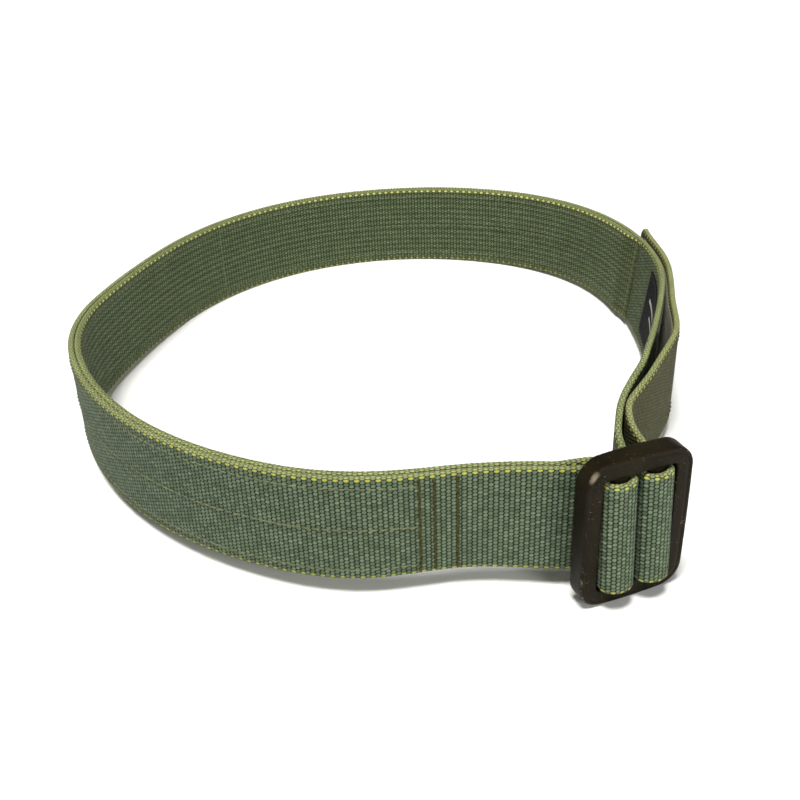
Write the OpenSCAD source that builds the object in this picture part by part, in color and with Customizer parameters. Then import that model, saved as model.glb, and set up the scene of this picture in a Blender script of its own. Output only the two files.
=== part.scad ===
// Webbing belt strap with a two-bar friction buckle and a hook-and-loop tail.
// The belt stands on its edge. +Z is the loop's axis, +Y points away from the buckle,
// and the origin is at the middle of the bounding box, on the surface it stands on.

/* [Webbing] */
// Width of the webbing, which is the height of the standing belt
web_w = 43.7; // [40:0.1:46]
// Thickness of one ply of webbing
ply = 2.6; // [2.2:0.1:2.8]
// Length of the sewn double layer between the buckle and its last cross seam
end_tab_length = 46; // [44:1:60]
// Distance from the buckle at which the inner ply ends
liner_end = 692; // [600:1:695]

/* [Buckle] */
// Width of the frame, across its two bars
frame_w = 42; // [41:0.5:46]
// Height of the frame
frame_h = 60; // [58:0.5:64]
// Depth of the frame, front to back
frame_d = 8; // [7:0.5:9]
// Width of the window inside the frame
window_w = 28.8; // [28.6:0.1:30]
// Height of the window inside the frame
window_h = 46.4; // [46.2:0.1:48]
// Outer corner radius of the frame
corner_r = 8; // [5:0.5:9]
// Distance between the centres of the two bars
bar_pitch = 14.5; // [14.4:0.1:14.8]
// Width of each oval bar
bar_w = 7.4; // [7:0.1:7.5]
// Thickness of each oval bar
bar_t = 4.2; // [3.6:0.1:4.4]

/* [Trim] */
// Width of the hook strip and of the loop strip
grip_w = 38; // [25:1:39]
// Thickness of the hook strip and of the loop strip
grip_t = 0.5; // [0.3:0.1:0.6]
// Length of the hook strip on the tail
hook_length = 118; // [80:1:122]
// Length of the woven label
label_length = 62; // [40:1:72]
// Height of the woven label
label_h = 32; // [20:1:36]
// Thickness of the woven label
label_t = 0.5; // [0.3:0.1:0.6]
// Width of a line of sewing thread
thread_w = 0.8; // [0.4:0.1:1]
// How far the thread stands out of the webbing
thread_t = 0.25; // [0.15:0.05:0.4]
// Distance from the webbing's edge to its outer seams
seam_inset = 4; // [3:0.5:6]

/* [Hidden] */

// Colours
web_colour = [0.36, 0.43, 0.36];
liner_colour = [0.30, 0.38, 0.28];
metal_colour = [0.16, 0.14, 0.11];
grip_colour = [0.25, 0.24, 0.17];
thread_colour = [0.60, 0.55, 0.40];
label_colour = [0.05, 0.05, 0.06];

// Levels: the frame is taller than the webbing, so the webbing starts above its lower edge
web_z0 = (frame_h - web_w) / 2;
web_z1 = web_z0 + web_w;
mid_z = frame_h / 2;

// Depths inwards from the belt's outer face. The plies lie a little apart.
ply_gap = 0.1;
face_gap = 0.01;
inner_0 = ply + ply_gap;
inner_1 = inner_0 + ply;

// The belt's outer face leaves the buckle at loop_start and runs clockwise round the loop:
// each arc is [radius, degrees turned to the right]
loop_start = [56.3, -143.6];
loop_heading = 174;
loop_arcs = [
    [175, -13], [185, 5], [105, 23], [160, 49.5], [100, 33.5], [350, 10.5],
    [140, 54], [145, 34], [105, 43.5], [130, 35.5], [160, 4.5], [600, 5.5]
];
facet_length = 7;

// The outer face of the single strap from the loop back to the buckle's middle slot.
// The first and last points of each route only set the direction there.
return_points = [
    [115.5, -41.9], [110.9, -53.1], [104.8, -68.6], [96.3, -85.1], [90.3, -98.1],
    [86.3, -111.1], [83.7, -124.6]
];
rigid_spans = 3;

// Buckle: the centre of its front face, and its turn about Z
buckle_at = [84.6, -150.1];
buckle_turn = 21.2;
bar_depth = 2.3;
wrap_gap = 0.1;
slot_y = frame_d;
leg_gap = 0.3;
crown = 1;

slot_x = (bar_w + ply) / 2 + wrap_gap;
function slot(side, leg, y = slot_y + leg_gap) = to_belt([side * bar_pitch / 2 + leg * slot_x, y]);
function along(p, heading, d) = [p.x + d * cos(heading), p.y + d * sin(heading)];
out_of_slot = buckle_turn + 90;
return_route = let (end = to_belt([(bar_pitch + ply) / 2 - slot_x, slot_y + leg_gap])) concat(
    return_points, [end, along(return_points[len(return_points) - 1], out_of_slot, -28)]);

// Centre lines of the sewn end's two legs, from the slots to the start of the loop
function loop_joint(depth) = [
    loop_start.x + depth * sin(loop_heading), loop_start.y - depth * cos(loop_heading)
];
front_leg_route = [
    along([66.4, -142.9], out_of_slot, -12), slot(-1, -1), [66.4, -142.9], [61.4, -142.7],
    loop_joint(ply / 2), along([61.4, -142.7], loop_heading, 10)
];
back_leg_route = [
    along([76.2, -138.3], out_of_slot, -16), slot(-1, 1), [76.2, -138.3], [70.2, -137.6],
    [63.2, -138.7], loop_joint(inner_0 + ply / 2), along([63.2, -138.7], loop_heading, 13)
];

// Centre lines of the free tail. The hinges are the places where it bends when it is peeled.
root_route = [
    along([89.8, -126.5], out_of_slot, -24), slot(1, 1), [89.8, -126.5], [88.7, -115.5],
    [89.9, -105], [92.5, -97.8], [97.1, -90.3]
];
mid_route = [
    [89.9, -105], [92.5, -97.8], [97.1, -90.3], [104.2, -78.8], [112, -64.5],
    [118, -53.5], [122.6, -44.2]
];
end_route = [
    [112, -64.5], [118, -53.5], [122.6, -44.2], [125.6, -34.5], [127.6, -23.6],
    [129.7, -11.7], [132.4, 0.8], [135.2, 14], [137.4, 27.6], [138.2, 41.4],
    [137.7, 54.6], [137.1, 67], [137.5, 78.5], [138.5, 90]
];
hinge_gap = 1.6;

// Where the seams and trim lie, as distances along the outer face from loop_start
end_seams = [32.2, 40.3, 45.5];
liner_seam_from = 47;
liner_seam_to = 396;
loop_seam_from = 398;
loop_strip_to = 792;
label_from = 718;
seam_z = [web_z0 + seam_inset, mid_z - thread_w / 2, web_z1 - seam_inset - thread_w];
hook_from = 6;

// A point in the buckle's own frame, x across the bars and y to the back, in the belt's frame
function to_belt(p) = [
    buckle_at.x + p.x * cos(buckle_turn) - p.y * sin(buckle_turn),
    buckle_at.y + p.x * sin(buckle_turn) + p.y * cos(buckle_turn)
];

// Positions and headings every facet_length along a chain of arcs
function arc_end(s, arc, share) = let (
    side = sign(arc[1]), turn = abs(arc[1]) * share,
    centre = [s[0] + side * arc[0] * sin(s[2]), s[1] - side * arc[0] * cos(s[2])],
    heading = s[2] - side * turn
) [centre.x - side * arc[0] * sin(heading), centre.y + side * arc[0] * cos(heading), heading];
function arc_stations(s, arcs, i = 0) = i == len(arcs) ? [s] : let (
    steps = ceil(arcs[i][0] * abs(arcs[i][1]) * PI / 180 / facet_length)
) concat(
    [for (k = [0 : steps - 1]) arc_end(s, arcs[i], k / steps)],
    arc_stations(arc_end(s, arcs[i], 1), arcs, i + 1)
);

// Positions and headings along a smooth curve through a route, without its first and last point
function route_point(a, b, c, d, t) =
    (2 * b + (c - a) * t + (2 * a - 5 * b + 4 * c - d) * t * t + (3 * b - a - 3 * c + d) * t * t * t) / 2;
function route_slope(a, b, c, d, t) =
    ((c - a) + 2 * (2 * a - 5 * b + 4 * c - d) * t + 3 * (3 * b - a - 3 * c + d) * t * t) / 2;
function with_heading(p, v) = [p.x, p.y, atan2(v.y, v.x)];
function route_headings(r, steps = 3) = concat(
    [for (i = [1 : len(r) - 3], k = [0 : steps - 1])
        with_heading(route_point(r[i - 1], r[i], r[i + 1], r[i + 2], k / steps),
                     route_slope(r[i - 1], r[i], r[i + 1], r[i + 2], k / steps))],
    [let (n = len(r)) with_heading(r[n - 2], (r[n - 1] - r[n - 3]) / 2)]
);

// Stations [x, y, across x, across y]: a position and the unit vector to the right of the line
function stations(p) = [for (s = p) [s.x, s.y, sin(s[2]), -cos(s[2])]];
function route_stations(r) = stations(route_headings(r));

// Distances along a line of stations, and the part of it between two distances
function lengths(p, i = 0, sum = 0) = i == len(p) - 1 ? [sum] :
    concat([sum], lengths(p, i + 1, sum + norm([p[i + 1].x - p[i].x, p[i + 1].y - p[i].y])));
function station_at(p, d, s, i = 0) = (i == len(p) - 2 || d[i + 1] >= s)
    ? let (t = (s - d[i]) / (d[i + 1] - d[i])) (1 - t) * p[i] + t * p[i + 1]
    : station_at(p, d, s, i + 1);
function part_of(p, s0, s1) = let (d = lengths(p)) concat(
    [station_at(p, d, s0)],
    [for (i = [0 : len(p) - 1]) if (d[i] > s0 + 0.01 && d[i] < s1 - 0.01) p[i]],
    [station_at(p, d, s1)]
);

// A line of stations moved sideways, to the right of its direction
function beside(p, inwards) = [for (s = p) [s.x + inwards * s[2], s.y + inwards * s[3]]];
function backwards(p) = [for (i = [len(p) - 1 : -1 : 0]) p[i]];

loop_line = stations(arc_stations([loop_start.x, loop_start.y, loop_heading], loop_arcs));
return_line = route_stations(return_route);
rigid_count = 3 * rigid_spans;
belt_line = concat(
    [for (i = [0 : len(loop_line) - 2]) loop_line[i]],
    [for (i = [0 : rigid_count]) return_line[i]]
);
slot_line = [for (i = [rigid_count : len(return_line) - 1]) return_line[i]];
root_line = route_stations(root_route);
mid_line = route_stations(mid_route);
tail_line = route_stations(end_route);
root_length = lengths(root_line)[len(root_line) - 1];
mid_length = lengths(mid_line)[len(mid_line) - 1];
tail_length = lengths(tail_line)[len(tail_line) - 1];
belt_length = lengths(belt_line)[len(belt_line) - 1];

// A band that stands on edge between two depths beside a line of stations
module band(p, d0, d1, z0 = web_z0, z1 = web_z1)
    translate([0, 0, z0])
        linear_extrude(z1 - z0)
            polygon(concat(beside(p, d0), backwards(beside(p, d1))));

// A band centred on its line, with a rounded hinge end at its first station
module hinged_band(p)
    translate([0, 0, web_z0])
        linear_extrude(web_w)
            polygon(concat(
                beside(p, -ply / 2),
                backwards(beside(p, ply / 2)),
                [for (a = [30 : 30 : 150]) [
                    p[0].x + ply / 2 * (p[0][2] * cos(a) + p[0][3] * sin(a)),
                    p[0].y + ply / 2 * (p[0][3] * cos(a) - p[0][2] * sin(a))
                ]]
            ));

// What lies on a face of the belt: side is -1 outside the face at that depth and 1 inside it
module on_face(p, s0, s1, depth, side, t, z0, z1)
    band(part_of(p, s0, s1), depth + side * face_gap, depth + side * (face_gap + t), z0, z1);
module cross_thread(p, s, depth, side, z0 = web_z0 + 1.5, z1 = web_z1 - 1.5)
    on_face(p, s, s + thread_w, depth, side, thread_t, z0, z1);
module long_thread(p, s0, s1, depth, side, z)
    on_face(p, s0, s1, depth, side, thread_t, z, z + thread_w);

// Outline of the frame: a rounded rectangle whose sides bow out a little
function bow(p, w, h) = [
    p.x + sign(p.x) * 0.4 * crown * (1 - pow(2 * p.y / h, 2)),
    p.y + sign(p.y) * crown * (1 - pow(2 * p.x / w, 2))
];
function frame_outline(inset) = let (
    w = frame_w - 0.8 * crown - 2 * inset, h = frame_h - 2 * crown - 2 * inset, r = corner_r - inset
) [
    for (q = [0 : 3], i = [0 : 11]) let (
        sx = (q == 0 || q == 3) ? 1 : -1, sy = q < 2 ? 1 : -1,
        along = i > 8,
        turn = 90 * q + min(i, 8) * 11.25,
        corner = [sx * (w / 2 - r) + r * cos(turn), sy * (h / 2 - r) + r * sin(turn)],
        step = (i - 8) / 4,
        next = q % 2 == 0 ? [-corner.x * step * 2 + corner.x, corner.y]
                          : [corner.x, -corner.y * step * 2 + corner.y]
    ) bow(along ? next : corner, w, h)
];

// Stands a flat outline drawn in x and height up in the buckle's place, between two depths
module in_buckle()
    translate([buckle_at.x, buckle_at.y, 0])
        rotate(buckle_turn)
            children();
module upright(y0, y1)
    translate([0, y1, mid_z])
        rotate([90, 0, 0])
            linear_extrude(y1 - y0)
                children();

module buckle_frame() {
    bevel = 0.8;
    color(metal_colour) in_buckle()
        difference() {
            union() {
                upright(bevel, frame_d - bevel) polygon(frame_outline(0));
                upright(0, frame_d) polygon(frame_outline(bevel));
            }
            upright(-1, frame_d + 1) square([window_w, window_h], center = true);
        }
}

// An oval bar that stands between the frame's top and bottom rails
function oval(a, b, from, to, steps) =
    [for (i = [0 : steps]) let (t = from + (to - from) * i / steps) [a * cos(t), b * sin(t)]];
module bar(side)
    color(metal_colour) in_buckle()
        translate([side * bar_pitch / 2, bar_depth, mid_z - window_h / 2])
            linear_extrude(window_h)
                polygon(oval(bar_w / 2, bar_t / 2, 0, 345, 23));
module fixed_bar() bar(-1);
module adjuster_bar() bar(1);

// The webbing bent over the front of a bar, with both legs running to the back of the frame
module wrap(side) {
    a = bar_w / 2 + wrap_gap;
    b = bar_t / 2 + wrap_gap;
    leg = frame_d - bar_depth;
    color(web_colour) in_buckle()
        translate([side * bar_pitch / 2, bar_depth, web_z0])
            linear_extrude(web_w)
                polygon(concat(
                    [[a + ply, leg]],
                    oval(a + ply, b + ply, 0, -180, 18),
                    [[-a - ply, leg], [-a, leg]],
                    oval(a, b, -180, 0, 18),
                    [[a, leg]]
                ));
}
module fixed_wrap() wrap(-1);
module adjuster_wrap() wrap(1);

// The two legs that join the webbing round the fixed bar to the sewn end of the belt
module end_leg_front()
    color(web_colour) band(route_stations(front_leg_route), -ply / 2, ply / 2);
module end_leg_back()
    color(web_colour) band(route_stations(back_leg_route), -ply / 2, ply / 2);

module end_tab()
    color(web_colour) band(part_of(belt_line, 0, end_tab_length), inner_0, inner_1);
module outer_web()
    color(web_colour) band(part_of(belt_line, 0, liner_end), 0, ply);
module inner_web()
    color(liner_colour) band(part_of(belt_line, end_tab_length + 0.5, liner_end), inner_0, inner_1);
module running_strap()
    color(web_colour) band(part_of(belt_line, liner_end, belt_length), 0, ply);
module slot_strap()
    color(web_colour) band(slot_line, 0, ply);

module tail_root()
    color(web_colour) band(part_of(root_line, 0, root_length - hinge_gap), -ply / 2, ply / 2);
module tail_mid()
    color(web_colour) hinged_band(part_of(mid_line, 0, mid_length - hinge_gap));
module tail_end()
    color(web_colour) hinged_band(tail_line);

// The tail runs the other way along the belt, so the belt lies to the left of its line
module hook_strip()
    color(grip_colour)
        on_face(tail_line, hook_from, hook_from + hook_length, -ply / 2, -1, grip_t,
                mid_z - grip_w / 2, mid_z + grip_w / 2);
module loop_strip()
    color(grip_colour)
        on_face(belt_line, loop_seam_from, loop_strip_to, 0, -1, grip_t,
                mid_z - grip_w / 2, mid_z + grip_w / 2);

module label_patch()
    color(label_colour)
        on_face(belt_line, label_from, label_from + label_length, ply, 1, label_t,
                mid_z - label_h / 2, mid_z + label_h / 2);
module label_stitching()
    color(thread_colour)
        for (z = [mid_z - label_h / 2 + 1, mid_z + label_h / 2 - 1 - thread_w])
            long_thread(belt_line, label_from + 1, label_from + label_length - 1,
                        ply + label_t + face_gap, 1, z);

// The three cross seams that hold the end loop, seen from outside the belt and from inside
module end_seam(i)
    color(thread_colour) {
        cross_thread(belt_line, end_seams[i], 0, -1);
        cross_thread(belt_line, end_seams[i], inner_1, 1);
    }
module end_seam_near() end_seam(0);
module end_seam_middle() end_seam(1);
module end_seam_far() end_seam(2);

// Seams along the belt that join its two plies, on both of its faces
module liner_seam(i)
    color(thread_colour) {
        long_thread(belt_line, liner_seam_from, liner_seam_to, 0, -1, seam_z[i]);
        long_thread(belt_line, liner_seam_from, liner_seam_to, inner_1, 1, seam_z[i]);
    }
module liner_seam_top() liner_seam(2);
module liner_seam_middle() liner_seam(1);
module liner_seam_bottom() liner_seam(0);
module liner_seam_end()
    color(thread_colour) cross_thread(belt_line, liner_end - 3, inner_1, 1);

// Seams of the loop strip, which show on the belt's inner face
module loop_seam(i)
    color(thread_colour)
        long_thread(belt_line, loop_seam_from + 1, liner_end - 4, inner_1, 1, seam_z[i]);
module loop_seam_start()
    color(thread_colour)
        cross_thread(belt_line, loop_seam_from, inner_1, 1, web_z0 + 2.5, web_z1 - 2.5);
module loop_seam_top() loop_seam(2);
module loop_seam_middle() loop_seam(1);
module loop_seam_bottom() loop_seam(0);

// Seams of the hook strip, which show on the tail's outer face
module hook_seam(i)
    color(thread_colour)
        long_thread(tail_line, hook_from, hook_from + hook_length, ply / 2, 1, seam_z[i]);
module hook_seam_top() hook_seam(2);
module hook_seam_bottom() hook_seam(0);
module tail_end_seam()
    color(thread_colour) cross_thread(tail_line, tail_length - 4, ply / 2, 1);

buckle_frame();
fixed_bar();
adjuster_bar();
fixed_wrap();
adjuster_wrap();
end_leg_front();
end_leg_back();
end_tab();
outer_web();
inner_web();
running_strap();
slot_strap();
tail_root();
tail_mid();
tail_end();
hook_strip();
loop_strip();
label_patch();
label_stitching();
end_seam_near();
end_seam_middle();
end_seam_far();
liner_seam_end();
liner_seam_top();
liner_seam_middle();
liner_seam_bottom();
loop_seam_start();
loop_seam_top();
loop_seam_middle();
loop_seam_bottom();
hook_seam_top();
hook_seam_bottom();
tail_end_seam();
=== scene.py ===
import math

import bpy
import numpy as np
from mathutils import Matrix, Vector


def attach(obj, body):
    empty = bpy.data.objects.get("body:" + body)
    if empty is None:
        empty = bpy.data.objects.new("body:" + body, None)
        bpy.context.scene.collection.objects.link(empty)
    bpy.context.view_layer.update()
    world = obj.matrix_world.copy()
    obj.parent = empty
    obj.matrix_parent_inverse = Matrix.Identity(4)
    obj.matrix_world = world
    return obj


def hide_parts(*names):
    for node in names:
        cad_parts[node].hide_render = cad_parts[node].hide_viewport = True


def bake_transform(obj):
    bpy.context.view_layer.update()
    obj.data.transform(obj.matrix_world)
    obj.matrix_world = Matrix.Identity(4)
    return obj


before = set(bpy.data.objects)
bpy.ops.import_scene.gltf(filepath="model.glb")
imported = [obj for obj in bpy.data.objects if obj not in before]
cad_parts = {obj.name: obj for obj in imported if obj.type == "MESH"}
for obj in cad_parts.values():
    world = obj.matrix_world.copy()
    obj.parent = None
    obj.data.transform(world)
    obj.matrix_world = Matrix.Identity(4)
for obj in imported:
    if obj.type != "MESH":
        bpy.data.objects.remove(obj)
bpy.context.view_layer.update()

# Sizes are in millimetres, as in the CAD model. new_mesh turns them into metres.
PLY = 2.6                     # one thickness of webbing
WEB_W = 43.7                  # width of the webbing, which stands on its edge
WEB_Z0 = 8.15                 # its lower edge
WEB_Z1 = WEB_Z0 + WEB_W       # its upper edge
MID_Z = 30.0                  # the middle of the webbing and of the buckle
INNER_0 = 2.7                 # from the belt's outer face to the liner's outer face
INNER_1 = 5.3                 # and to the liner's inner face
COLUMN = 1.83                 # pitch of the weave along the webbing
ROWS = 28                     # rows of the weave across it
ROLL_PITCH = 0.76             # how much closer the columns look where the webbing rolls round a bar

# Places along the belt's line, from where the sewn end loop starts.
TAB_END = 46.0                # end of the folded-back end
END_SEAMS = {"end_seam_near": 32.2, "end_seam_middle": 40.3, "end_seam_far": 45.5}
LOOP_FROM, LOOP_TO = 398, 792
LINER_END = 692.0
PRESSED = 16.0                # the liner's last stretch, which is pressed flat
LABEL_FROM, LABEL_TO = 718, 780

# Hook and loop tapes, and the label.
TAPE_W = 38.0
TAPE_T = 0.5
TAPE_LIFT = 0.01              # a tape or the label lies this far off the webbing
HOOK_LENGTH = 118
LABEL_W = 32.0
LABEL_T = 0.5
LABEL_Z0 = 14.0

# The buckle, whose own x runs along its width and own y from its front to its back.
BUCKLE_AT = (84.6, -150.1)
BUCKLE_TURN = math.radians(21.2)
SLOT_X = 5.1                  # from a bar's middle to the middle of the webbing beside it
SLOT_Y = 8.3                  # where the webbing leaves the buckle at the back
BAR_X = 7.25                  # from the buckle's middle to a bar's
BAR_Y = 2.3
BAR_HALF = (3.8, 2.2)
FRAME_DEPTH = 8
FRAME_EDGE = 0.9              # rounding of the frame's outer edges
FRAME_SIZE = (41.2, 58, 8)    # width, height and corner radius
FRAME_BOW = (0.4, 1.0)        # how far its sides and its ends bow out
WINDOW_EDGE = 0.6
WINDOW_SIZE = (28.8, 46.4, 1.6)
# where a highlight is painted on the buckle, as bare metal
PAINTED_HIGHLIGHT_CORNER = (-19.5, 27.0)   # the upper left corner, in x and above the middle

# The belt in plan: x, y and heading at its start, then the radius and the turn of each arc.
LOOP_START = (56.3, -143.6, 174.0)
LOOP_ARCS = ((175, -13), (185, 5), (105, 23), (160, 49.5), (100, 33.5), (350, 10.5),
             (140, 54), (145, 34), (105, 43.5), (130, 35.5), (160, 4.5), (600, 5.5))

# Left and right of a line. The belt's line has the inside on its right. The tail's line runs the
# other way along the belt, so it has the inside on its left.
LEFT, RIGHT = -1, 1

UV_SIZE = 100                 # millimetres of webbing in one unit of the weave's UV map

rng = np.random.default_rng(7)


# ---------------------------------------------------------------- paths in plan

def to_belt(x, y):
    """From the buckle's own axes to the belt's."""
    c, s = math.cos(BUCKLE_TURN), math.sin(BUCKLE_TURN)
    return BUCKLE_AT[0] + x * c - y * s, BUCKLE_AT[1] + x * s + y * c


def arc_points(start, arcs):
    """Points half a millimetre apart along arcs that join smoothly. A positive sweep turns right."""
    x, y, heading = start
    out = [(x, y)]
    h = math.radians(heading)
    for radius, sweep in arcs:
        side, turn = math.copysign(1, sweep), math.radians(abs(sweep))
        n = max(2, math.ceil(radius * turn / 0.5))
        cx, cy = x + side * radius * math.sin(h), y - side * radius * math.cos(h)
        for k in range(1, n + 1):
            a = h - side * turn * k / n
            out.append((cx - side * radius * math.sin(a), cy + side * radius * math.cos(a)))
        h -= side * turn
        x, y = out[-1]
    return out


def spline(route, steps=36):
    """A smooth curve through all the route's points but its first and last, which only steer it."""
    r = np.array(route, float)
    out = []
    for a, b, c, d in zip(r, r[1:], r[2:], r[3:]):
        for k in range(steps):
            t = k / steps
            out.append((2 * b + (c - a) * t + (2 * a - 5 * b + 4 * c - d) * t * t
                        + (3 * b - a - 3 * c + d) * t ** 3) / 2)
    out.append(r[-2])
    return out


class Line:
    """A line in plan, measured in millimetres from its start."""

    def __init__(self, points):
        p = np.array(points, float)
        keep = np.concatenate([[True], np.linalg.norm(np.diff(p, axis=0), axis=1) > 1e-6])
        self.p = p[keep]
        steps = np.linalg.norm(np.diff(self.p, axis=0), axis=1)
        self.s = np.concatenate([[0], np.cumsum(steps)])
        t = np.gradient(self.p, self.s, axis=0)
        self.t = t / np.linalg.norm(t, axis=1)[:, None]
        self.length = self.s[-1]

    def at(self, s):
        """Points, directions and directions to the right, for an array of distances."""
        p = np.stack([np.interp(s, self.s, self.p[:, i]) for i in (0, 1)], 1)
        t = np.stack([np.interp(s, self.s, self.t[:, i]) for i in (0, 1)], 1)
        t /= np.linalg.norm(t, axis=1)[:, None]
        return p, t, np.stack([t[:, 1], -t[:, 0]], 1)

    def nearest(self, xy):
        return self.s[np.linalg.norm(self.p - np.array(xy), axis=1).argmin()]


def ahead(p, heading, d):
    return p[0] + d * math.cos(heading), p[1] + d * math.sin(heading)


def loop_joint(depth):
    """Where the belt starts, that far inwards of its outer face."""
    h = math.radians(LOOP_START[2])
    return LOOP_START[0] + depth * math.sin(h), LOOP_START[1] - depth * math.cos(h)


def wrap_line(side):
    """Round the front of a bar, from the slot on its left to the slot on its right."""
    a, b = (half + PLY / 2 for half in BAR_HALF)
    leg = np.linspace(SLOT_Y, BAR_Y, 10)[:-1]
    turn = np.linspace(math.pi, 2 * math.pi, 60)
    local = [(-a, y) for y in leg]
    local += [(a * math.cos(t), BAR_Y + b * math.sin(t)) for t in turn]
    local += [(a, y) for y in leg[::-1]]
    return Line([to_belt(side * BAR_X + x, y) for x, y in local])


# Straight out of the buckle's back, and along the belt's start.
OUT = BUCKLE_TURN + math.pi / 2
LEG_TURN = math.radians(LOOP_START[2])

# The belt: round the loop, then back into the buckle's middle slot as a single strap.
STRAP_AT_BELT = (90.3, -98.1)
STRAP_AT_BUCKLE = (83.7, -124.6)
return_route = [(115.5, -41.9), (110.9, -53.1), (104.8, -68.6), (96.3, -85.1), STRAP_AT_BELT,
                (86.3, -111.1), STRAP_AT_BUCKLE, to_belt(BAR_X + PLY / 2 - SLOT_X, SLOT_Y),
                ahead(STRAP_AT_BUCKLE, OUT, -28)]
belt_line = Line(arc_points(LOOP_START, LOOP_ARCS) + spline(return_route))
STRAP_SPLIT = belt_line.nearest(STRAP_AT_BELT)

# The tail: out of the right slot, then back along the belt's outer face.
TAIL_AT_BUCKLE = (89.8, -126.5)
TAIL_BEND_1 = (92.5, -97.8)
TAIL_BEND_2 = (118, -53.5)
tail_route = [ahead(TAIL_AT_BUCKLE, OUT, -24), to_belt(BAR_X + SLOT_X, SLOT_Y), TAIL_AT_BUCKLE,
              (88.7, -115.5), (89.9, -105), TAIL_BEND_1, (97.1, -90.3), (104.2, -78.8),
              (112, -64.5), TAIL_BEND_2, (122.6, -44.2), (125.6, -34.5), (127.6, -23.6),
              (129.7, -11.7), (132.4, 0.8), (135.2, 14), (137.4, 27.6), (138.2, 41.4),
              (137.7, 54.6), (137.1, 67), (137.5, 78.5), (138.5, 90)]
tail_line = Line(spline(tail_route))
HINGE_1 = tail_line.nearest(TAIL_BEND_1)
HINGE_2 = tail_line.nearest(TAIL_BEND_2)

# The two legs of the sewn end loop, from the slots beside the left bar.
FRONT_AT_BUCKLE, FRONT_AT_BELT = (66.4, -142.9), (61.4, -142.7)
BACK_AT_BUCKLE, BACK_AT_BELT = (76.2, -138.3), (63.2, -138.7)
front_leg = Line(spline([ahead(FRONT_AT_BUCKLE, OUT, -12), to_belt(-BAR_X - SLOT_X, SLOT_Y),
                         FRONT_AT_BUCKLE, FRONT_AT_BELT, loop_joint(PLY / 2),
                         ahead(FRONT_AT_BELT, LEG_TURN, 10)]))
back_leg = Line(spline([ahead(BACK_AT_BUCKLE, OUT, -16), to_belt(-BAR_X + SLOT_X, SLOT_Y),
                        BACK_AT_BUCKLE, (70.2, -137.6), BACK_AT_BELT,
                        loop_joint(INNER_0 + PLY / 2), ahead(BACK_AT_BELT, LEG_TURN, 13)]))


# ---------------------------------------------------------------- mesh building

LEAN_BY_BUCKLE = 2.2
LEAN_BY_TAIL = 5.5
ROLL_MARK = "_roll"           # ends the name of each piece that goes round a bar
ROLL_OUT = (0.3, 2.9)         # how far a roll stands out at its top, and how much more at its foot


def hump(x, start, length):
    """Rises smoothly from 0 to 1 and back over a stretch."""
    return np.sin(math.pi * np.clip((x - start) / length, 0, 1)) ** 2


def lean(verts):
    """The belt's lower edge leans in, a little beside the buckle and more by the tail."""
    v = np.array(verts, float)
    x, y, z = v.T
    low = np.clip((WEB_Z1 - z) / WEB_W, 0, 1)
    v[:, 1] += LEAN_BY_BUCKLE * hump(x, -18, 78) * (y < -125) * low ** 1.3
    v[:, 0] -= LEAN_BY_TAIL * hump(y, -50, 175) * (x > 80) * low
    return v


def bulge(verts):
    """The rolls stand further out of the frame at their lower end."""
    v = np.array(verts, float)
    c, s = math.cos(BUCKLE_TURN), math.sin(BUCKLE_TURN)
    y = -(v[:, 0] - BUCKLE_AT[0]) * s + (v[:, 1] - BUCKLE_AT[1]) * c
    low = np.clip((MID_Z + 20 - v[:, 2]) / 40, 0, 1)
    out = np.clip((SLOT_Y - y) / 6.5, 0, 1) * (ROLL_OUT[0] + ROLL_OUT[1] * low)
    v[:, 0] += s * out
    v[:, 1] -= c * out
    return v


def new_mesh(name, verts, faces, uvs=None, smooth=35):
    """verts in millimetres; uvs one for each corner of each face; edges over smooth degrees stay sharp."""
    verts = bulge(verts) if name.endswith(ROLL_MARK) else lean(verts)
    me = bpy.data.meshes.new(name)
    me.from_pydata((verts / 1000).tolist(), [], faces)
    me.update()
    if uvs is not None:
        layer = me.uv_layers.new(name="weave")
        layer.data.foreach_set("uv", np.asarray(uvs, np.float32).ravel())
    me.shade_smooth()
    if smooth:
        me.set_sharp_from_angle(angle=math.radians(smooth))
    ob = bpy.data.objects.new(name, me)
    bpy.context.collection.objects.link(ob)
    return ob


def grid_faces(rings, points):
    """Quads between neighbouring closed rings."""
    i = np.arange(rings - 1)[:, None] * points
    j = np.arange(points)[None, :]
    k = (j + 1) % points
    return np.stack([i + j, i + k, i + points + k, i + points + j], -1).reshape(-1, 4)


def web_ring(t, w, rows, arc=5):
    """The webbing's section as (depth, height, way round): flat faces and rounded edges."""
    e = 0.62 * t / 2
    out = []
    for k in range(rows + 1):
        z = e + (w - 2 * e) * k / rows
        out.append((0.0, z, z))
    for k in range(1, arc + 1):
        a = math.pi * k / (arc + 1)
        out.append((t / 2 - t / 2 * math.cos(a), w - e + e * math.sin(a),
                    w - e + (t + 2 * e) * k / (arc + 1)))
    for k in range(rows + 1):
        z = w - e - (w - 2 * e) * k / rows
        out.append((t, z, w + t + (w - z)))
    for k in range(1, arc + 1):
        a = math.pi * k / (arc + 1)
        out.append((t / 2 + t / 2 * math.cos(a), e - e * math.sin(a),
                    2 * w + t - e + (t + 2 * e) * k / (arc + 1)))
    return np.array(out)


def thinned(s, end, over):
    """How thick a ply is at s, as a share, where its last stretch is pressed flat."""
    if not over:
        return np.ones_like(s)
    t = np.clip((s - end + over) / over, 0, 1)
    return 1 - 0.78 * t * t * (3 - 2 * t)


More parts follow.
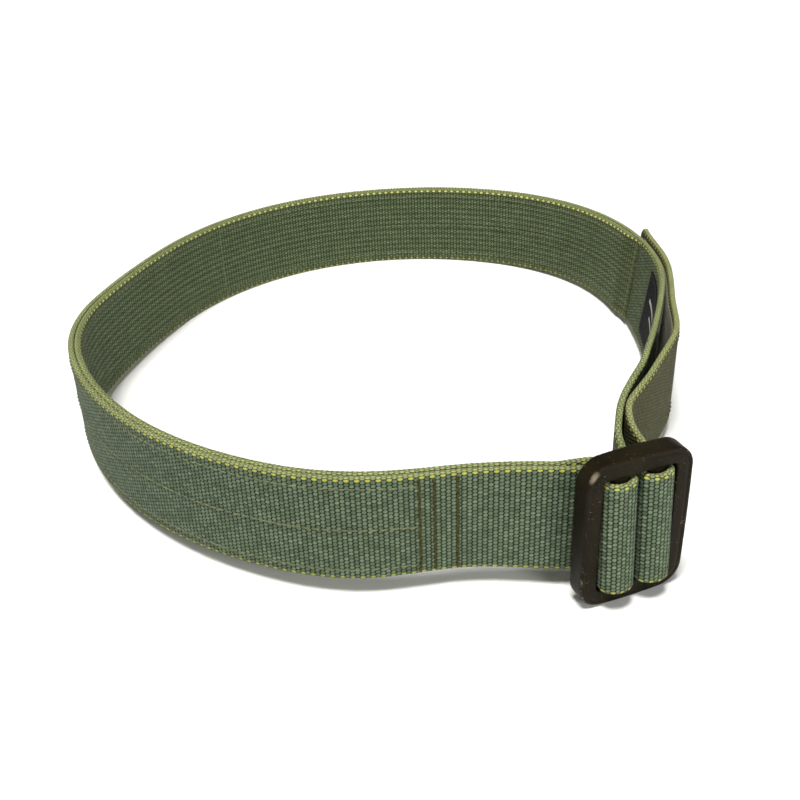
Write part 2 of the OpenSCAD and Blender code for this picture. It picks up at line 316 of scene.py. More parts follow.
def band(name, line, s0, s1, depth, t=PLY, w=WEB_W, z0=WEB_Z0, u0=0.0, step=COLUMN / 3,
         ripple=0.12, wobble=0.12, rows=14, round_end=False, thin=0.0, pitch=1.0):
    """A strip on edge along a line, from depth to depth + t on the line's right.

    u0 shifts its weave along it and pitch scales it. Its edges ripple with the weave's columns,
    and the whole strip wobbles slowly up and down. thin is how much of its end is pressed flat.
    """
    n = max(2, int(math.ceil((s1 - s0) / step)))
    s = np.linspace(s0, s1, n + 1)
    u = s + u0
    p, _, right = line.at(s)
    ring = web_ring(t, w, rows)
    m = len(ring)

    d = depth + ring[None, :, 0] * thinned(s, s1, thin)[:, None]
    z = z0 + ring[None, :, 1] + np.zeros((n + 1, 1))
    rim_starts = 0.93
    rim = np.clip((np.abs(ring[:, 1] / w - 0.5) * 2 - rim_starts) / (1 - rim_starts), 0, 1)
    columns = np.cos(2 * math.pi * u / COLUMN)[:, None]
    z = z + np.sign(ring[None, :, 1] - w / 2) * rim[None, :] * ripple * columns
    slow = np.sin(u / 31.0) * 0.6 + np.sin(u / 17.3 + 1.3) * 0.4
    z = z + wobble * slow[:, None]
    if round_end:
        # the last corners are rounded off, as on a cut and melted end
        corner = 5.0
        back = np.clip(1 - (s1 - s) / corner, 0, 1)
        cut = corner * (1 - np.sqrt(np.clip(1 - back ** 2, 0, 1)))
        z = z0 + w / 2 + (z - z0 - w / 2) * (1 - 2 * cut[:, None] / w)
    xy = p[:, None, :] + right[:, None, :] * d[..., None]
    verts = np.concatenate([xy, z[..., None]], -1).reshape(-1, 3)

    quads = grid_faces(n + 1, m)
    along = np.repeat(u / pitch, m)
    around = np.tile(ring[:, 2], n + 1)
    corner_around = around[quads].copy()
    # the faces that close the rings end past the whole way round
    closing = (np.arange(len(quads)) % m) == m - 1
    corner_around[closing, 1:3] += 2 * (w + t)
    uv = np.stack([along[quads], corner_around], -1)[:, ::-1].reshape(-1, 2)
    faces = quads[:, ::-1].tolist()
    first = list(range(m))
    last = list(range(n * m, (n + 1) * m))[::-1]
    cap_uv = np.stack([along[first + last], around[first + last]], 1)
    return new_mesh(name, verts, faces + [first, last], np.concatenate([uv, cap_uv]) / UV_SIZE)


# ---------------------------------------------------------------- materials

class Nodes:
    """Short hand for a material's node tree."""

    def __init__(self, name):
        self.mat = bpy.data.materials.new(name)
        self.mat.use_nodes = True
        self.tree = self.mat.node_tree
        self.tree.nodes.clear()
        out = self.tree.nodes.new("ShaderNodeOutputMaterial")
        self.bsdf = self.tree.nodes.new("ShaderNodeBsdfPrincipled")
        self.link(self.bsdf.outputs[0], out.inputs[0])

    def link(self, a, b):
        self.tree.links.new(a, b)

    def put(self, socket, value):
        if isinstance(value, (int, float, tuple, list)):
            socket.default_value = value
        else:
            self.link(value, socket)

    def surface(self, **inputs):
        """Puts values or outputs on the surface, by input name with _ for a space."""
        for name, value in inputs.items():
            self.put(self.bsdf.inputs[name.replace("_", " ")], value)

    def math(self, op, *values):
        n = self.tree.nodes.new("ShaderNodeMath")
        n.operation = op
        for socket, value in zip(n.inputs, values):
            self.put(socket, value)
        return n.outputs[0]

    def add(self, a, b):
        return self.math("ADD", a, b)

    def sub(self, a, b):
        return self.math("SUBTRACT", a, b)

    def mul(self, a, b):
        return self.math("MULTIPLY", a, b)

    def div(self, a, b):
        return self.math("DIVIDE", a, b)

    def most(self, a, b):
        return self.math("MAXIMUM", a, b)

    def least(self, a, b):
        return self.math("MINIMUM", a, b)

    def distance(self, a, b):
        return self.math("ABSOLUTE", self.sub(a, b))

    def oval(self, x, y, half, power):
        """0 in the middle of a rounded patch and 1 on its outline."""
        parts = [self.math("POWER", self.div(self.math("ABSOLUTE", v), h), p)
                 for v, h, p in zip((x, y), half, power)]
        return self.add(*parts)

    def map_range(self, x, lo, hi, to_lo=0.0, to_hi=1.0, kind="LINEAR"):
        n = self.tree.nodes.new("ShaderNodeMapRange")
        n.interpolation_type = kind
        self.put(n.inputs["Value"], x)
        for name, value in (("From Min", lo), ("From Max", hi), ("To Min", to_lo), ("To Max", to_hi)):
            n.inputs[name].default_value = value
        return n.outputs[0]

    def smooth(self, x, lo, hi):
        return self.map_range(x, lo, hi, kind="SMOOTHSTEP")

    def mix(self, share, a, b, mode="MIX"):
        n = self.tree.nodes.new("ShaderNodeMix")
        n.data_type = "RGBA"
        n.blend_type = mode
        for index, value in ((0, share), (6, a), (7, b)):
            self.put(n.inputs[index], value)
        return n.outputs[2]

    def weave_uv(self):
        """Millimetres along the webbing and round its section."""
        n = self.tree.nodes.new("ShaderNodeUVMap")
        n.uv_map = "weave"
        parts = self.tree.nodes.new("ShaderNodeSeparateXYZ")
        self.link(n.outputs[0], parts.inputs[0])
        return self.mul(parts.outputs[0], float(UV_SIZE)), self.mul(parts.outputs[1], float(UV_SIZE))

    def xyz(self, x, y, z=0.0):
        n = self.tree.nodes.new("ShaderNodeCombineXYZ")
        for socket, value in zip(n.inputs, (x, y, z)):
            self.put(socket, value)
        return n.outputs[0]

    def white(self, vector):
        n = self.tree.nodes.new("ShaderNodeTexWhiteNoise")
        n.noise_dimensions = "3D"
        self.link(vector, n.inputs[0])
        return n.outputs[0]

    def noise(self, vector, scale, detail=3.0, rough=0.6):
        n = self.tree.nodes.new("ShaderNodeTexNoise")
        self.link(vector, n.inputs["Vector"])
        for name, value in (("Scale", scale), ("Detail", detail), ("Roughness", rough)):
            n.inputs[name].default_value = value
        return n.outputs[0]

    def place(self):
        return self.tree.nodes.new("ShaderNodeTexCoord").outputs["Object"]

    def bump(self, height, distance, strength=1.0):
        n = self.tree.nodes.new("ShaderNodeBump")
        n.inputs["Strength"].default_value = strength
        n.inputs["Distance"].default_value = distance
        self.link(height, n.inputs["Height"])
        return n.outputs[0]


def rgb(r, g, b):
    """A colour as seen on screen, 0 to 255, as a linear one."""
    def linear(c):
        c /= 255
        return c / 12.92 if c <= 0.04045 else ((c + 0.055) / 1.055) ** 2.4
    return linear(r), linear(g), linear(b), 1.0


def darker(colour, share):
    return tuple(c * share for c in colour[:3]) + (1.0,)


# The weave, in columns along the webbing and rows across it.
BEAD_HALF, BEAD_POWER = (0.53, 0.52), (2.2, 2.0)
BEAD_SLANT = 0.09
TRACER_IN_TOP, TRACER_IN_BOTTOM = 0.85, 0.95      # millimetres in from the two edges of a face
TRACER_HALF, TRACER_POWER = (0.58, 0.72), (3.0, 2.0)
LINER_DYE = (0.82, 0.80, 0.66, 1.0)
WORN_BROWN = rgb(86, 78, 50)


def web_material(name, light, mid, gap, tracer, edge, worn=0.0, painted_ridge_shade=0.0):
    """Heavy woven webbing: offset columns of slanted beads, with one tracer yarn by each edge, and painted
    shade in the gaps between the beads.
    """
    k = Nodes(name)
    u, v = k.weave_uv()
    face = WEB_W + PLY                              # one face and one edge, round the section
    up = k.math("MODULO", v, face)
    to_top = k.sub(WEB_W, up)
    to_bottom = k.sub(up, k.mul(k.math("GREATER_THAN", up, WEB_W + PLY / 2), face))

    # rows: the same number on each face, and two round each edge
    rows = k.mul(k.math("FLOOR", k.div(v, face)), float(ROWS + 2))
    rows = k.add(rows, k.div(k.least(up, WEB_W), WEB_W / ROWS))
    rows = k.add(rows, k.div(k.most(k.sub(up, WEB_W), 0.0), PLY / 2))

    # beads: two lattices, each with every second column, half a row apart
    beads, cells, columns = [], [], []
    for shift, lift in ((0.5, 0.0), (1.5, 0.5)):
        along = k.add(k.div(u, 2 * COLUMN), 0.5 - shift / 2)
        dx = k.mul(k.sub(k.math("FRACT", along), 0.5), 2.0)
        slid = k.add(k.add(rows, lift), k.mul(dx, BEAD_SLANT))
        dy = k.sub(k.math("FRACT", slid), 0.5)
        beads.append(k.sub(1.0, k.oval(dx, dy, BEAD_HALF, BEAD_POWER)))
        cells.append(k.white(k.xyz(k.math("FLOOR", along), k.math("FLOOR", slid), shift)))
        columns.append(dx)
    bead = k.most(*beads)
    first = k.math("GREATER_THAN", *beads)
    jitter = k.add(k.mul(first, cells[0]), k.mul(k.sub(1.0, first), cells[1]))
    fibre = k.noise(k.xyz(k.mul(u, 1.1), k.mul(v, 6.0)), 2.2, 2.0, 0.7)
    patch = k.noise(k.xyz(k.mul(u, 0.03), k.mul(v, 0.08)), 3.0)
    tone = k.add(k.mul(jitter, 0.16), k.mul(fibre, 0.84))
    top = k.mix(k.smooth(tone, 0.25, 0.75), mid, light)

    # past the liner's end the inner face is dyed as the liner is
    inside = k.mul(k.math("GREATER_THAN", v, face), k.smooth(u, LINER_END - 20, LINER_END - 10))
    top = k.mix(inside, top, k.mix(1.0, top, LINER_DYE, "MULTIPLY"))

    # the woven edges are paler, and speckled
    rim = k.sub(1.0, k.smooth(to_top, -0.3, 0.3))
    top = k.mix(rim, top, k.mix(k.smooth(tone, 0.3, 0.7), darker(edge, 0.72), edge))

    # tracer: a short dash along each edge of each face, in every second column
    near = k.least(k.distance(to_top, TRACER_IN_TOP), k.distance(to_bottom, TRACER_IN_BOTTOM))
    dash = k.sub(1.0, k.smooth(k.oval(columns[0], near, TRACER_HALF, TRACER_POWER), 0.6, 1.1))
    top = k.mix(dash, top, k.mix(k.smooth(fibre, 0.3, 0.75), darker(tracer, 0.7), tracer))
    if worn:
        top = k.mix(k.mul(k.smooth(patch, 0.45, 0.7), worn), top, WORN_BROWN)

    # painted shade in the gaps between the beads, deepening from each bead's middle to its outline; broad
    # lighter and darker patches of tone; and ridges two rows wide, in the bump and with painted light and
    # shade across them
    # the gaps' colour is painted shade; on the edges it is the edge colour darkened
    low = k.mix(rim, gap, darker(edge, 0.34))
    # each bead fades from that painted shade at its outline to its own colour in its middle
    colour = k.mix(k.most(k.smooth(bead, -0.2, 0.8), k.mul(dash, 0.85)), low, top)
    shade = k.map_range(patch, 0.3, 0.7, 0.88, 1.1)
    height = k.add(k.smooth(bead, -0.4, 1.0), k.mul(fibre, 0.1))
    ridge = k.math("COSINE", k.mul(v, math.pi * ROWS / WEB_W))
    # painted light and shade across the ridges, on top of the patches; where any is painted, the bump gets
    # the ridges too
    shade = k.mul(shade, k.add(1.0, k.mul(ridge, painted_ridge_shade)))
    height = k.add(height, k.mul(ridge, 0.5 if painted_ridge_shade else 0.0))
    colour = k.mix(1.0, colour, k.xyz(shade, shade, shade), "MULTIPLY")
    k.surface(Base_Color=colour, Roughness=k.map_range(fibre, 0.2, 0.8, 0.68, 0.9),
              Specular_IOR_Level=0.12, Sheen_Weight=0.03, Sheen_Roughness=0.5,
              Normal=k.bump(height, 0.0004))
    return k.mat


def thread_material(name, colour, dark):
    """Twisted thread, darker in patches."""
    k = Nodes(name)
    twist = k.noise(k.place(), 1500.0, 3.0, 0.7)
    patch = k.noise(k.place(), 60.0, 3.0, 0.7)
    c = k.mix(k.smooth(twist, 0.3, 0.75), dark, colour)
    c = k.mix(k.smooth(patch, 0.45, 0.75), c, dark)
    k.surface(Base_Color=c, Roughness=0.75, Specular_IOR_Level=0.12, Normal=k.bump(twist, 0.0002, 0.8))
    return k.mat


def grip_material(name, dark, light, scale):
    """Hook or loop tape: a dense pile of fine dots, with painted shade in the hollows between them and a
    little brown dirt.
    """
    k = Nodes(name)
    fine = k.noise(k.place(), scale, 4.0, 0.8)
    coarse = k.noise(k.place(), scale / 7)
    cells = k.tree.nodes.new("ShaderNodeTexVoronoi")
    k.link(k.place(), cells.inputs["Vector"])
    cells.inputs["Scale"].default_value = scale * 0.9
    dots = k.smooth(cells.outputs["Distance"], 0.1, 0.6)
    c = k.mix(k.smooth(fine, 0.35, 0.7), dark, light)
    # painted shade in the hollows between the dots, where the bump sinks
    c = k.mix(k.mul(dots, 0.6), c, darker(dark, 0.35))
    c = k.mix(k.mul(k.smooth(coarse, 0.5, 0.72), 0.12), c, rgb(120, 108, 78))
    k.surface(Base_Color=c, Roughness=0.92, Sheen_Weight=0.25,
              Normal=k.bump(k.sub(fine, k.mul(dots, 0.8)), 0.0006))
    return k.mat


def metal_material(name):
    """Dark brown-black coated metal, worn to bare metal along its edges, with fine scratches and a highlight
    painted as bare metal on its upper left corner.
    """
    k = Nodes(name)
    at = k.place()
    broad = k.noise(at, 90.0, 4.0)
    fine = k.noise(at, 1400.0, 3.0, 0.7)
    grain = k.noise(at, 420.0, 5.0, 0.75)
    spot = k.noise(at, 55.0, 2.0, 0.5)
    marked = k.tree.nodes.new("ShaderNodeAttribute")
    marked.attribute_name = "edge"
    edge = marked.outputs["Fac"]
    wear = k.add(k.add(k.mul(edge, 0.62), k.mul(grain, 0.42)), k.mul(spot, 0.3))
    wear = k.smooth(wear, 1.0, 1.12)

    # a highlight painted as bare metal on the upper left corner
    away = k.tree.nodes.new("ShaderNodeVectorMath")
    away.operation = "DISTANCE"
    k.link(at, away.inputs[0])
    corner = (*to_belt(PAINTED_HIGHLIGHT_CORNER[0], 0), MID_Z + PAINTED_HIGHLIGHT_CORNER[1])
    away.inputs[1].default_value = [c / 1000 for c in corner]
    painted_highlight = k.sub(1.0, k.smooth(away.outputs["Value"], 0.0008, 0.0034))
    painted_highlight = k.mul(painted_highlight, k.smooth(k.add(grain, k.mul(edge, 0.35)), 0.5, 0.75))
    # from here wear also holds the painted highlight
    wear = k.most(wear, k.mul(painted_highlight, 0.6))

    # scratches: rare thin streaks of a stretched noise, and specks of dust
    streaks = k.tree.nodes.new("ShaderNodeMapping")
    streaks.inputs["Scale"].default_value = (260.0, 260.0, 3200.0)
    streaks.inputs["Rotation"].default_value = (0.35, 0.5, 0.4)
    k.link(at, streaks.inputs["Vector"])
    scratch = k.smooth(k.noise(streaks.outputs[0], 1.0, 2.0, 0.5), 0.68, 0.73)
    scratch = k.mul(scratch, k.smooth(k.noise(at, 150.0, 2.0, 0.5), 0.58, 0.66))
    dust = k.smooth(k.noise(at, 2100.0, 1.0, 0.5), 0.74, 0.79)
    scratch = k.most(scratch, k.mul(dust, 0.7))

    c = k.mix(k.smooth(broad, 0.3, 0.7), rgb(21, 17, 8), rgb(33, 27, 13))
    c = k.mix(k.mul(k.smooth(fine, 0.35, 0.7), 0.35), c, rgb(13, 10, 5))
    # bare metal where worn or scratched, and the painted highlight
    c = k.mix(k.most(wear, k.mul(scratch, 0.8)), c, rgb(168, 156, 130))
    k.surface(Base_Color=c, Metallic=k.most(k.mul(wear, 0.85), k.mul(scratch, 0.6)),
              Roughness=k.map_range(k.add(broad, k.mul(fine, 0.3)), 0.3, 1.0, 0.4, 0.58),
              Specular_IOR_Level=0.07,
              Normal=k.bump(k.sub(fine, k.mul(scratch, 1.5)), 0.00006, 0.7))
    return k.mat


# The label's marks: colour, from and to along the belt, from and to above the label's lower edge.
PALE, RED = rgb(196, 196, 190), rgb(150, 44, 38)
LABEL_MARKS = ((PALE, 727, 752, 19.5, 21.5), (PALE, 735, 758, 14.0, 15.6),
               (RED, 757, 764, 10.0, 20.0), (PALE, 768, 772, 8.0, 24.0))
LABEL_YARN = 0.45


def label_material(name):
    """Plain black woven label with three pale bars and one dark red block."""
    k = Nodes(name)
    u, v = k.weave_uv()
    yarns = [k.math("SINE", k.mul(x, 2 * math.pi / LABEL_YARN)) for x in (u, v)]
    weave = k.mul(*yarns)
    n = k.noise(k.xyz(u, v), 1.5, 3.0, 0.7)
    c = k.mix(k.smooth(k.add(weave, n), 0.0, 1.6), rgb(9, 9, 10), rgb(26, 26, 28))
    for colour, u0, u1, z0, z1 in LABEL_MARKS:
        high = 2 * LABEL_W + LABEL_T - (z0 + z1) / 2
        mark = k.mul(k.math("COMPARE", u, (u0 + u1) / 2, (u1 - u0) / 2),
                     k.math("COMPARE", v, high, (z1 - z0) / 2))
        c = k.mix(k.mul(mark, k.smooth(n, 0.2, 0.5)), c, colour)
    k.surface(Base_Color=c, Roughness=0.75, Specular_IOR_Level=0.1, Normal=k.bump(weave, 0.00012))
    return k.mat


# Webbing colours: light and middle yarn, the painted shade in the gaps, tracer, edges.
WEB = web_material("webbing", rgb(120, 136, 110), rgb(63, 77, 53), rgb(13, 20, 11),
                   rgb(176, 177, 80), rgb(162, 170, 115), painted_ridge_shade=0.06)
LINER = web_material("webbing_liner", rgb(112, 126, 93), rgb(80, 92, 62), rgb(27, 34, 18),
                     rgb(206, 205, 112), rgb(164, 172, 114), painted_ridge_shade=0.27)
TAIL = web_material("webbing_tail", rgb(91, 91, 50), rgb(56, 57, 28), rgb(16, 18, 8),
                    rgb(178, 176, 84), rgb(166, 172, 114), worn=0.4)
THREAD = thread_material("sewing_thread", rgb(84, 80, 42), rgb(38, 37, 17))
PALE_THREAD = thread_material("sewing_thread_pale", rgb(128, 134, 102), rgb(88, 92, 66))
LABEL_THREAD = thread_material("label_thread", rgb(70, 72, 76), rgb(30, 31, 34))
HOOK = grip_material("hook_tape", rgb(98, 98, 58), rgb(150, 146, 98), 900.0)
LOOP = grip_material("loop_tape", rgb(58, 70, 48), rgb(92, 102, 72), 700.0)
METAL = metal_material("buckle_metal")
LABEL = label_material("woven_label")


def dress(ob, material, slot, body, *nodes):
    """Gives a piece its material, attaches it to its body and hides the nodes it replaces; slot is not used.
    A piece that bends has no one body.
    """
    ob.data.materials.append(material)
    if body:
        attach(ob, body)
    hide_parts(*nodes)
    return ob


# ---------------------------------------------------------------- webbing

dress(band("belt_outer_ply", belt_line, 0, STRAP_SPLIT, 0),
      WEB, "webbing", "belt", "outer_web", "running_strap")
dress(band("belt_liner", belt_line, TAB_END + 0.05, LINER_END, INNER_0, u0=0.9, thin=PRESSED),
      LINER, "webbing_liner", "belt", "inner_web")
dress(band("folded_end", belt_line, 0, TAB_END, INNER_0, u0=0.4),
      WEB, "webbing", "belt", "end_tab")

ob = dress(band("strap_to_buckle", belt_line, STRAP_SPLIT, belt_line.length, 0),
           WEB, "webbing", None, "slot_strap")
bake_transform(ob)

# the legs' weave is counted from where they meet the belt, so that it runs on
ob = dress(band("end_loop_front_leg", front_leg, 0, front_leg.length, -PLY / 2, u0=-front_leg.length),
           WEB, "webbing", None, "end_leg_front")
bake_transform(ob)
ob = dress(band("end_loop_back_leg", back_leg, 0, back_leg.length, -PLY / 2, u0=0.4 - back_leg.length),
           WEB, "webbing", None, "end_leg_back")
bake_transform(ob)

for side, name, node in ((LEFT, "end_loop", "fixed_wrap"), (RIGHT, "strap", "adjuster_wrap")):
    line = wrap_line(side)
    roll = band(name + ROLL_MARK, line, 0, line.length, -PLY / 2, u0=0.3 + side, step=COLUMN / 5,
                wobble=0.0, pitch=ROLL_PITCH)
    dress(roll, WEB, "webbing", "buckle", node)

ROOT_END = HINGE_1 - 9
BEND_END = (HINGE_1 + HINGE_2) / 2
ob = dress(band("tail_behind_buckle", tail_line, 0, ROOT_END, -PLY / 2),
           TAIL, "webbing", None, "tail_root")
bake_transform(ob)
ob = dress(band("tail_first_bend", tail_line, ROOT_END, BEND_END, -PLY / 2),
           TAIL, "webbing", None, "tail_mid")
p = tail_line.at(np.array([HINGE_1 - 8, HINGE_1 + 8]))[0]
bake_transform(ob)
ob = dress(band("tail_flap", tail_line, BEND_END, tail_line.length, -PLY / 2, round_end=True),
           TAIL, "webbing", None, "tail_end")
p = tail_line.at(np.array([HINGE_2 - 8, HINGE_2 + 6]))[0]
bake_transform(ob)


# ---------------------------------------------------------------- hook and loop, label

HOOK_FROM = HINGE_2 + 6
HOOK_TO = HOOK_FROM + HOOK_LENGTH


def tape(name, line, s0, s1, depth):
    return band(name, line, s0, s1, depth, t=TAPE_T, w=TAPE_W, z0=MID_Z - TAPE_W / 2,
                ripple=0.0, wobble=0.0, step=1.2, rows=8)


dress(tape("hook_tape", tail_line, HOOK_FROM, HOOK_TO, -PLY / 2 - TAPE_T - TAPE_LIFT),
      HOOK, "grip_tape", "tail_tip", "hook_strip")
dress(tape("loop_tape", belt_line, LOOP_FROM, LOOP_TO, -TAPE_T - TAPE_LIFT),
      LOOP, "grip_tape", "belt", "loop_strip")
dress(band("woven_label", belt_line, LABEL_FROM, LABEL_TO, PLY + TAPE_LIFT, t=LABEL_T, w=LABEL_W,
           z0=LABEL_Z0, ripple=0.05, wobble=0.0, step=1.0, rows=12),
      LABEL, "label", "belt", "label_patch")


# ---------------------------------------------------------------- stitches

def stitch_mesh(name, seats, width=0.8, rise=0.34):
    """One plump, slightly twisted length of thread for each (start, end, outward) seat."""
    rings, points = 7, 6
    flatness, sunk, twist = 0.62, 0.12, 1.4
    verts, faces = [], []
    for a, b, out in seats:
        a, b, out = np.array(a), np.array(b), np.array(out)
        along = b - a
        length = np.linalg.norm(along)
        along = along / length
        side = np.cross(along, out)
        skew = rng.normal(0, 0.05, 2)[0]
        base = len(verts)
        for i in range(rings):
            t = i / (rings - 1)
            r = width / 2 * math.sin(math.pi * (0.08 + 0.84 * t)) ** 0.5
            lift = (math.sin(math.pi * t) ** 0.6 if 0 < t < 1 else 0.0) * rise - sunk
            c = a + along * length * t + out * lift + side * skew * (t - 0.5)
            for j in range(points):
                q = 2 * math.pi * j / points + t * twist
                verts.append(c + side * r * math.cos(q) + out * r * flatness * math.sin(q))
        faces += (grid_faces(rings, points) + base).tolist()
        faces.append([base + j for j in range(points)][::-1])
        faces.append([base + (rings - 1) * points + j for j in range(points)])
    return new_mesh(name, verts, faces, smooth=None)


def long_seats(line, s0, s1, depth, side, z, pitch=3.4, gap=0.7):
    """Stitches along a line, on the face at that depth that looks to the line's left or right."""
    n = int((s1 - s0) / pitch)
    seats = []
    for s in s0 + (s1 - s0) * np.arange(n) / n:
        p, _, right = line.at(np.array([s, s + pitch - gap]))
        a, b = p + right * depth
        out = side * (right[0] + right[1]) / 2
        z0 = z + rng.normal(0, 0.06)
        seats.append(((*a, z0), (*b, z0 + rng.normal(0, 0.05)), (*out, 0)))
    return seats


def cross_seats(line, s, depth, side, z0, z1, pitch=2.3, gap=0.2):
    """Stitches up the webbing, across a line at s."""
    n = int((z1 - z0) / pitch)
    seats = []
    for i in range(n):
        z = z0 + (z1 - z0) * i / n
        p, t, right = line.at(np.array([s + 0.4 + rng.normal(0, 0.08)]))
        a = p[0] + right[0] * depth
        b = a + t[0] * rng.normal(0, 0.12)
        seats.append(((*a, z), (*b, z + (z1 - z0) / n - gap), (*(side * right[0]), 0)))
    return seats


def web_span(inset):
    """From the webbing's lower edge to its upper one, less the inset at both."""
    return WEB_Z0 + inset, WEB_Z1 - inset


def sew(node, seats, thread, body="belt", **shape):
    dress(stitch_mesh(node + "_stitches", seats, **shape), thread, "thread", body, node)


ROW_IN = 4.4
ROW_Z = {"bottom": WEB_Z0 + ROW_IN, "middle": MID_Z, "top": WEB_Z1 - ROW_IN}

for node, s in END_SEAMS.items():
    sew(node, cross_seats(belt_line, s, 0, LEFT, *web_span(1.2))
        + cross_seats(belt_line, s, INNER_1, RIGHT, *web_span(1.2)), THREAD, width=1.4)
for row, z in ROW_Z.items():
    sew("liner_seam_" + row, long_seats(belt_line, TAB_END + 1, LOOP_FROM - 2, 0, LEFT, z)
        + long_seats(belt_line, TAB_END + 1, LOOP_FROM - 2, INNER_1, RIGHT, z),
        PALE_THREAD, width=0.75)
    sew("loop_seam_" + row,
        long_seats(belt_line, LOOP_FROM + 1, LINER_END - PRESSED + 2, INNER_1, RIGHT, z),
        PALE_THREAD, width=0.75)
sew("loop_seam_start", cross_seats(belt_line, LOOP_FROM, INNER_1, RIGHT, *web_span(2.5)), PALE_THREAD)
sew("liner_seam_end",
    cross_seats(belt_line, LINER_END - 3, INNER_0 + PLY * 0.25, RIGHT, *web_span(1.5)), PALE_THREAD)
for row in ("bottom", "top"):
    sew("hook_seam_" + row, long_seats(tail_line, HOOK_FROM, HOOK_TO, PLY / 2, RIGHT, ROW_Z[row]),
        THREAD, "tail_tip")
sew("tail_end_seam", cross_seats(tail_line, tail_line.length - 4.4, PLY / 2, RIGHT, *web_span(2.5)),
    THREAD, "tail_tip")

# round the label, 1.4 mm in from its lower and upper edges
label_rows = (LABEL_Z0 + 1.4, LABEL_Z0 + LABEL_W - 1.4)
label_face = PLY + LABEL_T
seats = []
for z in label_rows:
    seats += long_seats(belt_line, LABEL_FROM + 1, LABEL_TO - 1, label_face, RIGHT, z, pitch=2.2, gap=0.4)
for s in (LABEL_FROM + 1, LABEL_TO - 1.6):
    seats += cross_seats(belt_line, s, label_face, RIGHT, *label_rows, pitch=2.2)
dress(stitch_mesh("label_stitches", seats, width=0.6, rise=0.25),
      LABEL_THREAD, "thread", "belt", "label_stitching")


# ---------------------------------------------------------------- buckle

def outline(size, grown, bow=(0, 0), corner=14, side=16):
    """Rounded rectangle in x and height, anticlockwise from the right, whose sides bow out."""
    w, h, r = size[0] + 2 * grown, size[1] + 2 * grown, size[2] + grown
    middles = [(x * (w / 2 - r), y * (h / 2 - r)) for x, y in ((1, 1), (-1, 1), (-1, -1), (1, -1))]
    pts = []
    for q, (cx, cy) in enumerate(middles):
        for i in range(corner):
            a = math.pi / 2 * (q + i / corner)
            pts.append((cx + r * math.cos(a), cy + r * math.sin(a)))
        a = math.pi / 2 * (q + 1)
        reach = np.array((r * math.cos(a), r * math.sin(a)))
        start, end = np.array((cx, cy)) + reach, np.array(middles[(q + 1) % 4]) + reach
        pts += [start + (end - start) * i / side for i in range(side)]
    p = np.array(pts)
    out_x = bow[0] * (1 - (2 * p[:, 1] / h) ** 2) * np.sign(p[:, 0])
    out_y = bow[1] * (1 - (2 * p[:, 0] / w) ** 2) * np.sign(p[:, 1])
    return p + np.stack([out_x, out_y], 1)


def quarter(steps):
    return [math.pi / 2 * i / steps for i in range(steps + 1)]


def buckle_mesh():
    """The frame as rings round its rail: over the outside, across the front, back through the window.

    Each ring is an outline, how far it is from the front, and how worn it is.
    """
    rings = []

    def outer(inset, y, wear=0.0):
        rings.append((outline(FRAME_SIZE, -inset, FRAME_BOW), y, wear))

    def inner(grown, y, wear=0.0):
        rings.append((outline(WINDOW_SIZE, grown), y, wear))

    def rounded(a):
        return 0.2 < a < 1.4

    for a in quarter(4)[::-1]:
        outer(FRAME_EDGE * (1 - math.cos(a)), FRAME_DEPTH - FRAME_EDGE * (1 - math.sin(a)),
              0.4 if rounded(a) else 0.1)
    for y in (6.2, 4.0, 1.9):
        outer(0, y)
    for a in quarter(5):
        outer(FRAME_EDGE * (1 - math.cos(a)), FRAME_EDGE * (1 - math.sin(a)), 1.0 if rounded(a) else 0.55)
    # a shallow groove round the front, then the flat up to the window
    for inset, y, wear in ((1.35, 0.0, 0.2), (1.65, 0.16, 0.1), (1.95, 0.2, 0.0), (2.25, 0.04, 0.25),
                           (3.1, 0.0, 0.0)):
        outer(inset, y, wear)
    for grown, y, wear in ((2.1, 0.0, 0.0), (1.5, 0.05, 0.0), (0.7, 0.02, 0.35)):
        inner(grown, y, wear)
    for a in quarter(3):
        inner(WINDOW_EDGE * (1 - math.sin(a)), WINDOW_EDGE * (1 - math.cos(a)) + 0.02, 0.7)
    for y in (2.5, 5.0):
        inner(0, y)
    for a in quarter(3)[::-1]:
        inner(WINDOW_EDGE * (1 - math.sin(a)), FRAME_DEPTH - WINDOW_EDGE * (1 - math.cos(a)), 0.3)
    inner(2.5, FRAME_DEPTH)

    verts = [(*to_belt(x, y), MID_Z + up) for pts, y, _ in rings for x, up in pts]
    wear = [worn for pts, _, worn in rings for _ in pts]
    n, m = len(rings), len(rings[0][0])
    faces = []
    for i in range(n):
        for j in range(m):
            k, l = (j + 1) % m, (i + 1) % n
            faces.append([i * m + j, l * m + j, l * m + k, i * m + k])
    ob = new_mesh("buckle", verts, faces, smooth=60)
    edge = ob.data.attributes.new("edge", "FLOAT", "POINT")
    edge.data.foreach_set("value", np.array(wear, np.float32))
    return ob


dress(buckle_mesh(), METAL, "buckle_metal", "buckle", "buckle_frame")
for node in ("fixed_bar", "adjuster_bar"):
    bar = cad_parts[node]
    bar.data.materials.clear()
    bar.data.materials.append(METAL)


# ---------------------------------------------------------------- floor and lights

# The floor rises a little away from the buckle, so that both the buckle, which reaches lower than
# the belt, and the belt's far side stand on it.
FLOOR_HALF = 4000
FLOOR_SLOPE = 0.0263
FLOOR_PIVOT = (84.6, -150)
FLOOR_RISE = (-0.362, 0.932)
FLOOR_DROP = 0.15             # a hair below the lowest edges


def floor_z(x, y):
    back = (x - FLOOR_PIVOT[0]) * FLOOR_RISE[0] + (y - FLOOR_PIVOT[1]) * FLOOR_RISE[1]
    return FLOOR_SLOPE * back - FLOOR_DROP


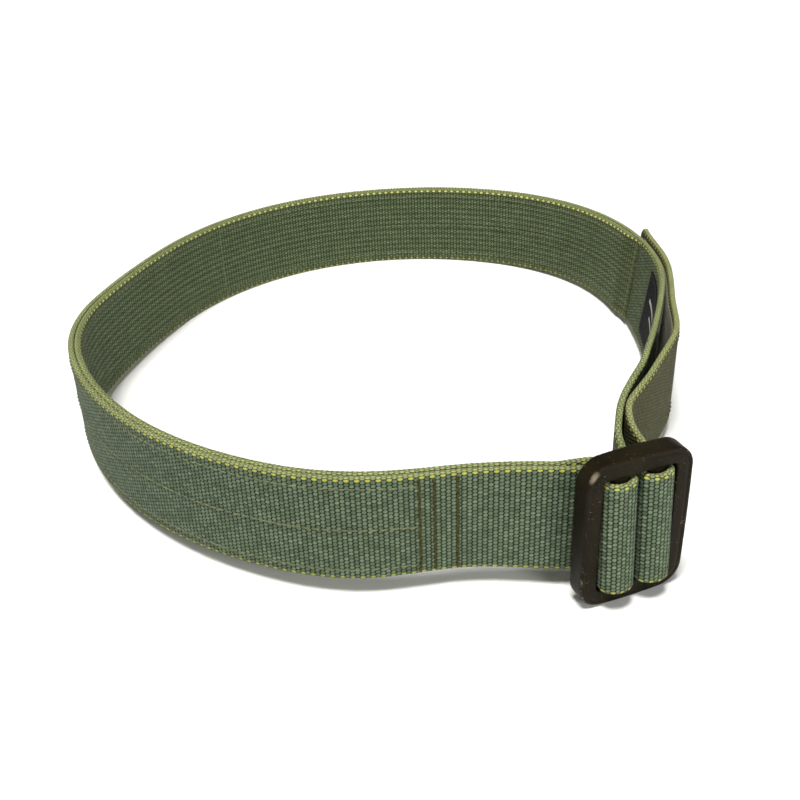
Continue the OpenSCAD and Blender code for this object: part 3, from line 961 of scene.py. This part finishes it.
corners = [(x * FLOOR_HALF, y * FLOOR_HALF) for x, y in ((-1, -1), (1, -1), (1, 1), (-1, 1))]
floor = new_mesh("floor", [(x, y, floor_z(x, y)) for x, y in corners], [[0, 1, 2, 3]], smooth=None)
paper = Nodes("floor_paper")
paper.surface(Base_Color=paper.mix(paper.noise(paper.place(), 30.0), rgb(245, 245, 245), rgb(250, 250, 250)),
              Roughness=0.9)
floor.data.materials.append(paper.mat)


def add_light(name, kind, direction, energy, colour):
    data = bpy.data.lights.new(name, kind)
    data.energy = energy
    data.color = colour
    light = bpy.data.objects.new(name, data)
    light.rotation_euler = direction.to_track_quat("-Z", "Y").to_euler()
    bpy.context.collection.objects.link(light)
    return light


# Places of lights and of the camera are in metres.
KEY_AT, KEY_AIM = Vector((0.45, -0.72, 0.26)), Vector((0.04, 0.0, 0.03))
top = add_light("top", "SUN", Vector((0.45, 0.80, -3.8)), 4.15, (1.0, 0.985, 0.95))
top.data.angle = math.radians(19)
key = add_light("key", "AREA", KEY_AIM - KEY_AT, 2.6, (0.98, 1.0, 0.98))
key.location = KEY_AT
key.data.shape = "DISK"
key.data.size = 0.3

# The world is brightest by the horizon, so that the backdrop stays pale behind the object.
world = bpy.data.worlds.new("studio")
bpy.context.scene.world = world
world.use_nodes = True
tree = world.node_tree
background = tree.nodes["Background"]
background.inputs["Color"].default_value = (1.0, 1.0, 1.0, 1.0)
direction = tree.nodes.new("ShaderNodeTexCoord")
height = tree.nodes.new("ShaderNodeSeparateXYZ")
tree.links.new(direction.outputs["Generated"], height.inputs[0])
glow = tree.nodes.new("ShaderNodeMapRange")
glow.interpolation_type = "SMOOTHSTEP"
for name, value in (("From Min", 0.05), ("From Max", 0.45), ("To Min", 0.95), ("To Max", 0.05)):
    glow.inputs[name].default_value = value
tree.links.new(height.outputs["Z"], glow.inputs["Value"])
tree.links.new(glow.outputs[0], background.inputs["Strength"])


# ---------------------------------------------------------------- camera

CAMERA_AT = (0.0053, -0.4286, 0.24647)
CAMERA_DOWN = math.radians(30.13)
CAMERA_ROLL = math.radians(2.276)

lens = bpy.data.cameras.new("camera")
lens.sensor_width = 36
lens.lens = 45.9
lens.clip_start = 0.01
camera = bpy.data.objects.new("camera", lens)
bpy.context.collection.objects.link(camera)
right = Vector((1, 0, 0))
up = Vector((0, math.sin(CAMERA_DOWN), math.cos(CAMERA_DOWN)))
forward = Vector((0, math.cos(CAMERA_DOWN), -math.sin(CAMERA_DOWN)))
camera_x = right * math.cos(CAMERA_ROLL) - up * math.sin(CAMERA_ROLL)
camera_y = right * math.sin(CAMERA_ROLL) + up * math.cos(CAMERA_ROLL)
turned = Matrix((camera_x, camera_y, -forward)).transposed().to_4x4()
turned.translation = Vector(CAMERA_AT)
camera.matrix_world = turned
bpy.context.scene.camera = camera
bpy.context.scene.view_settings.view_transform = "Standard"
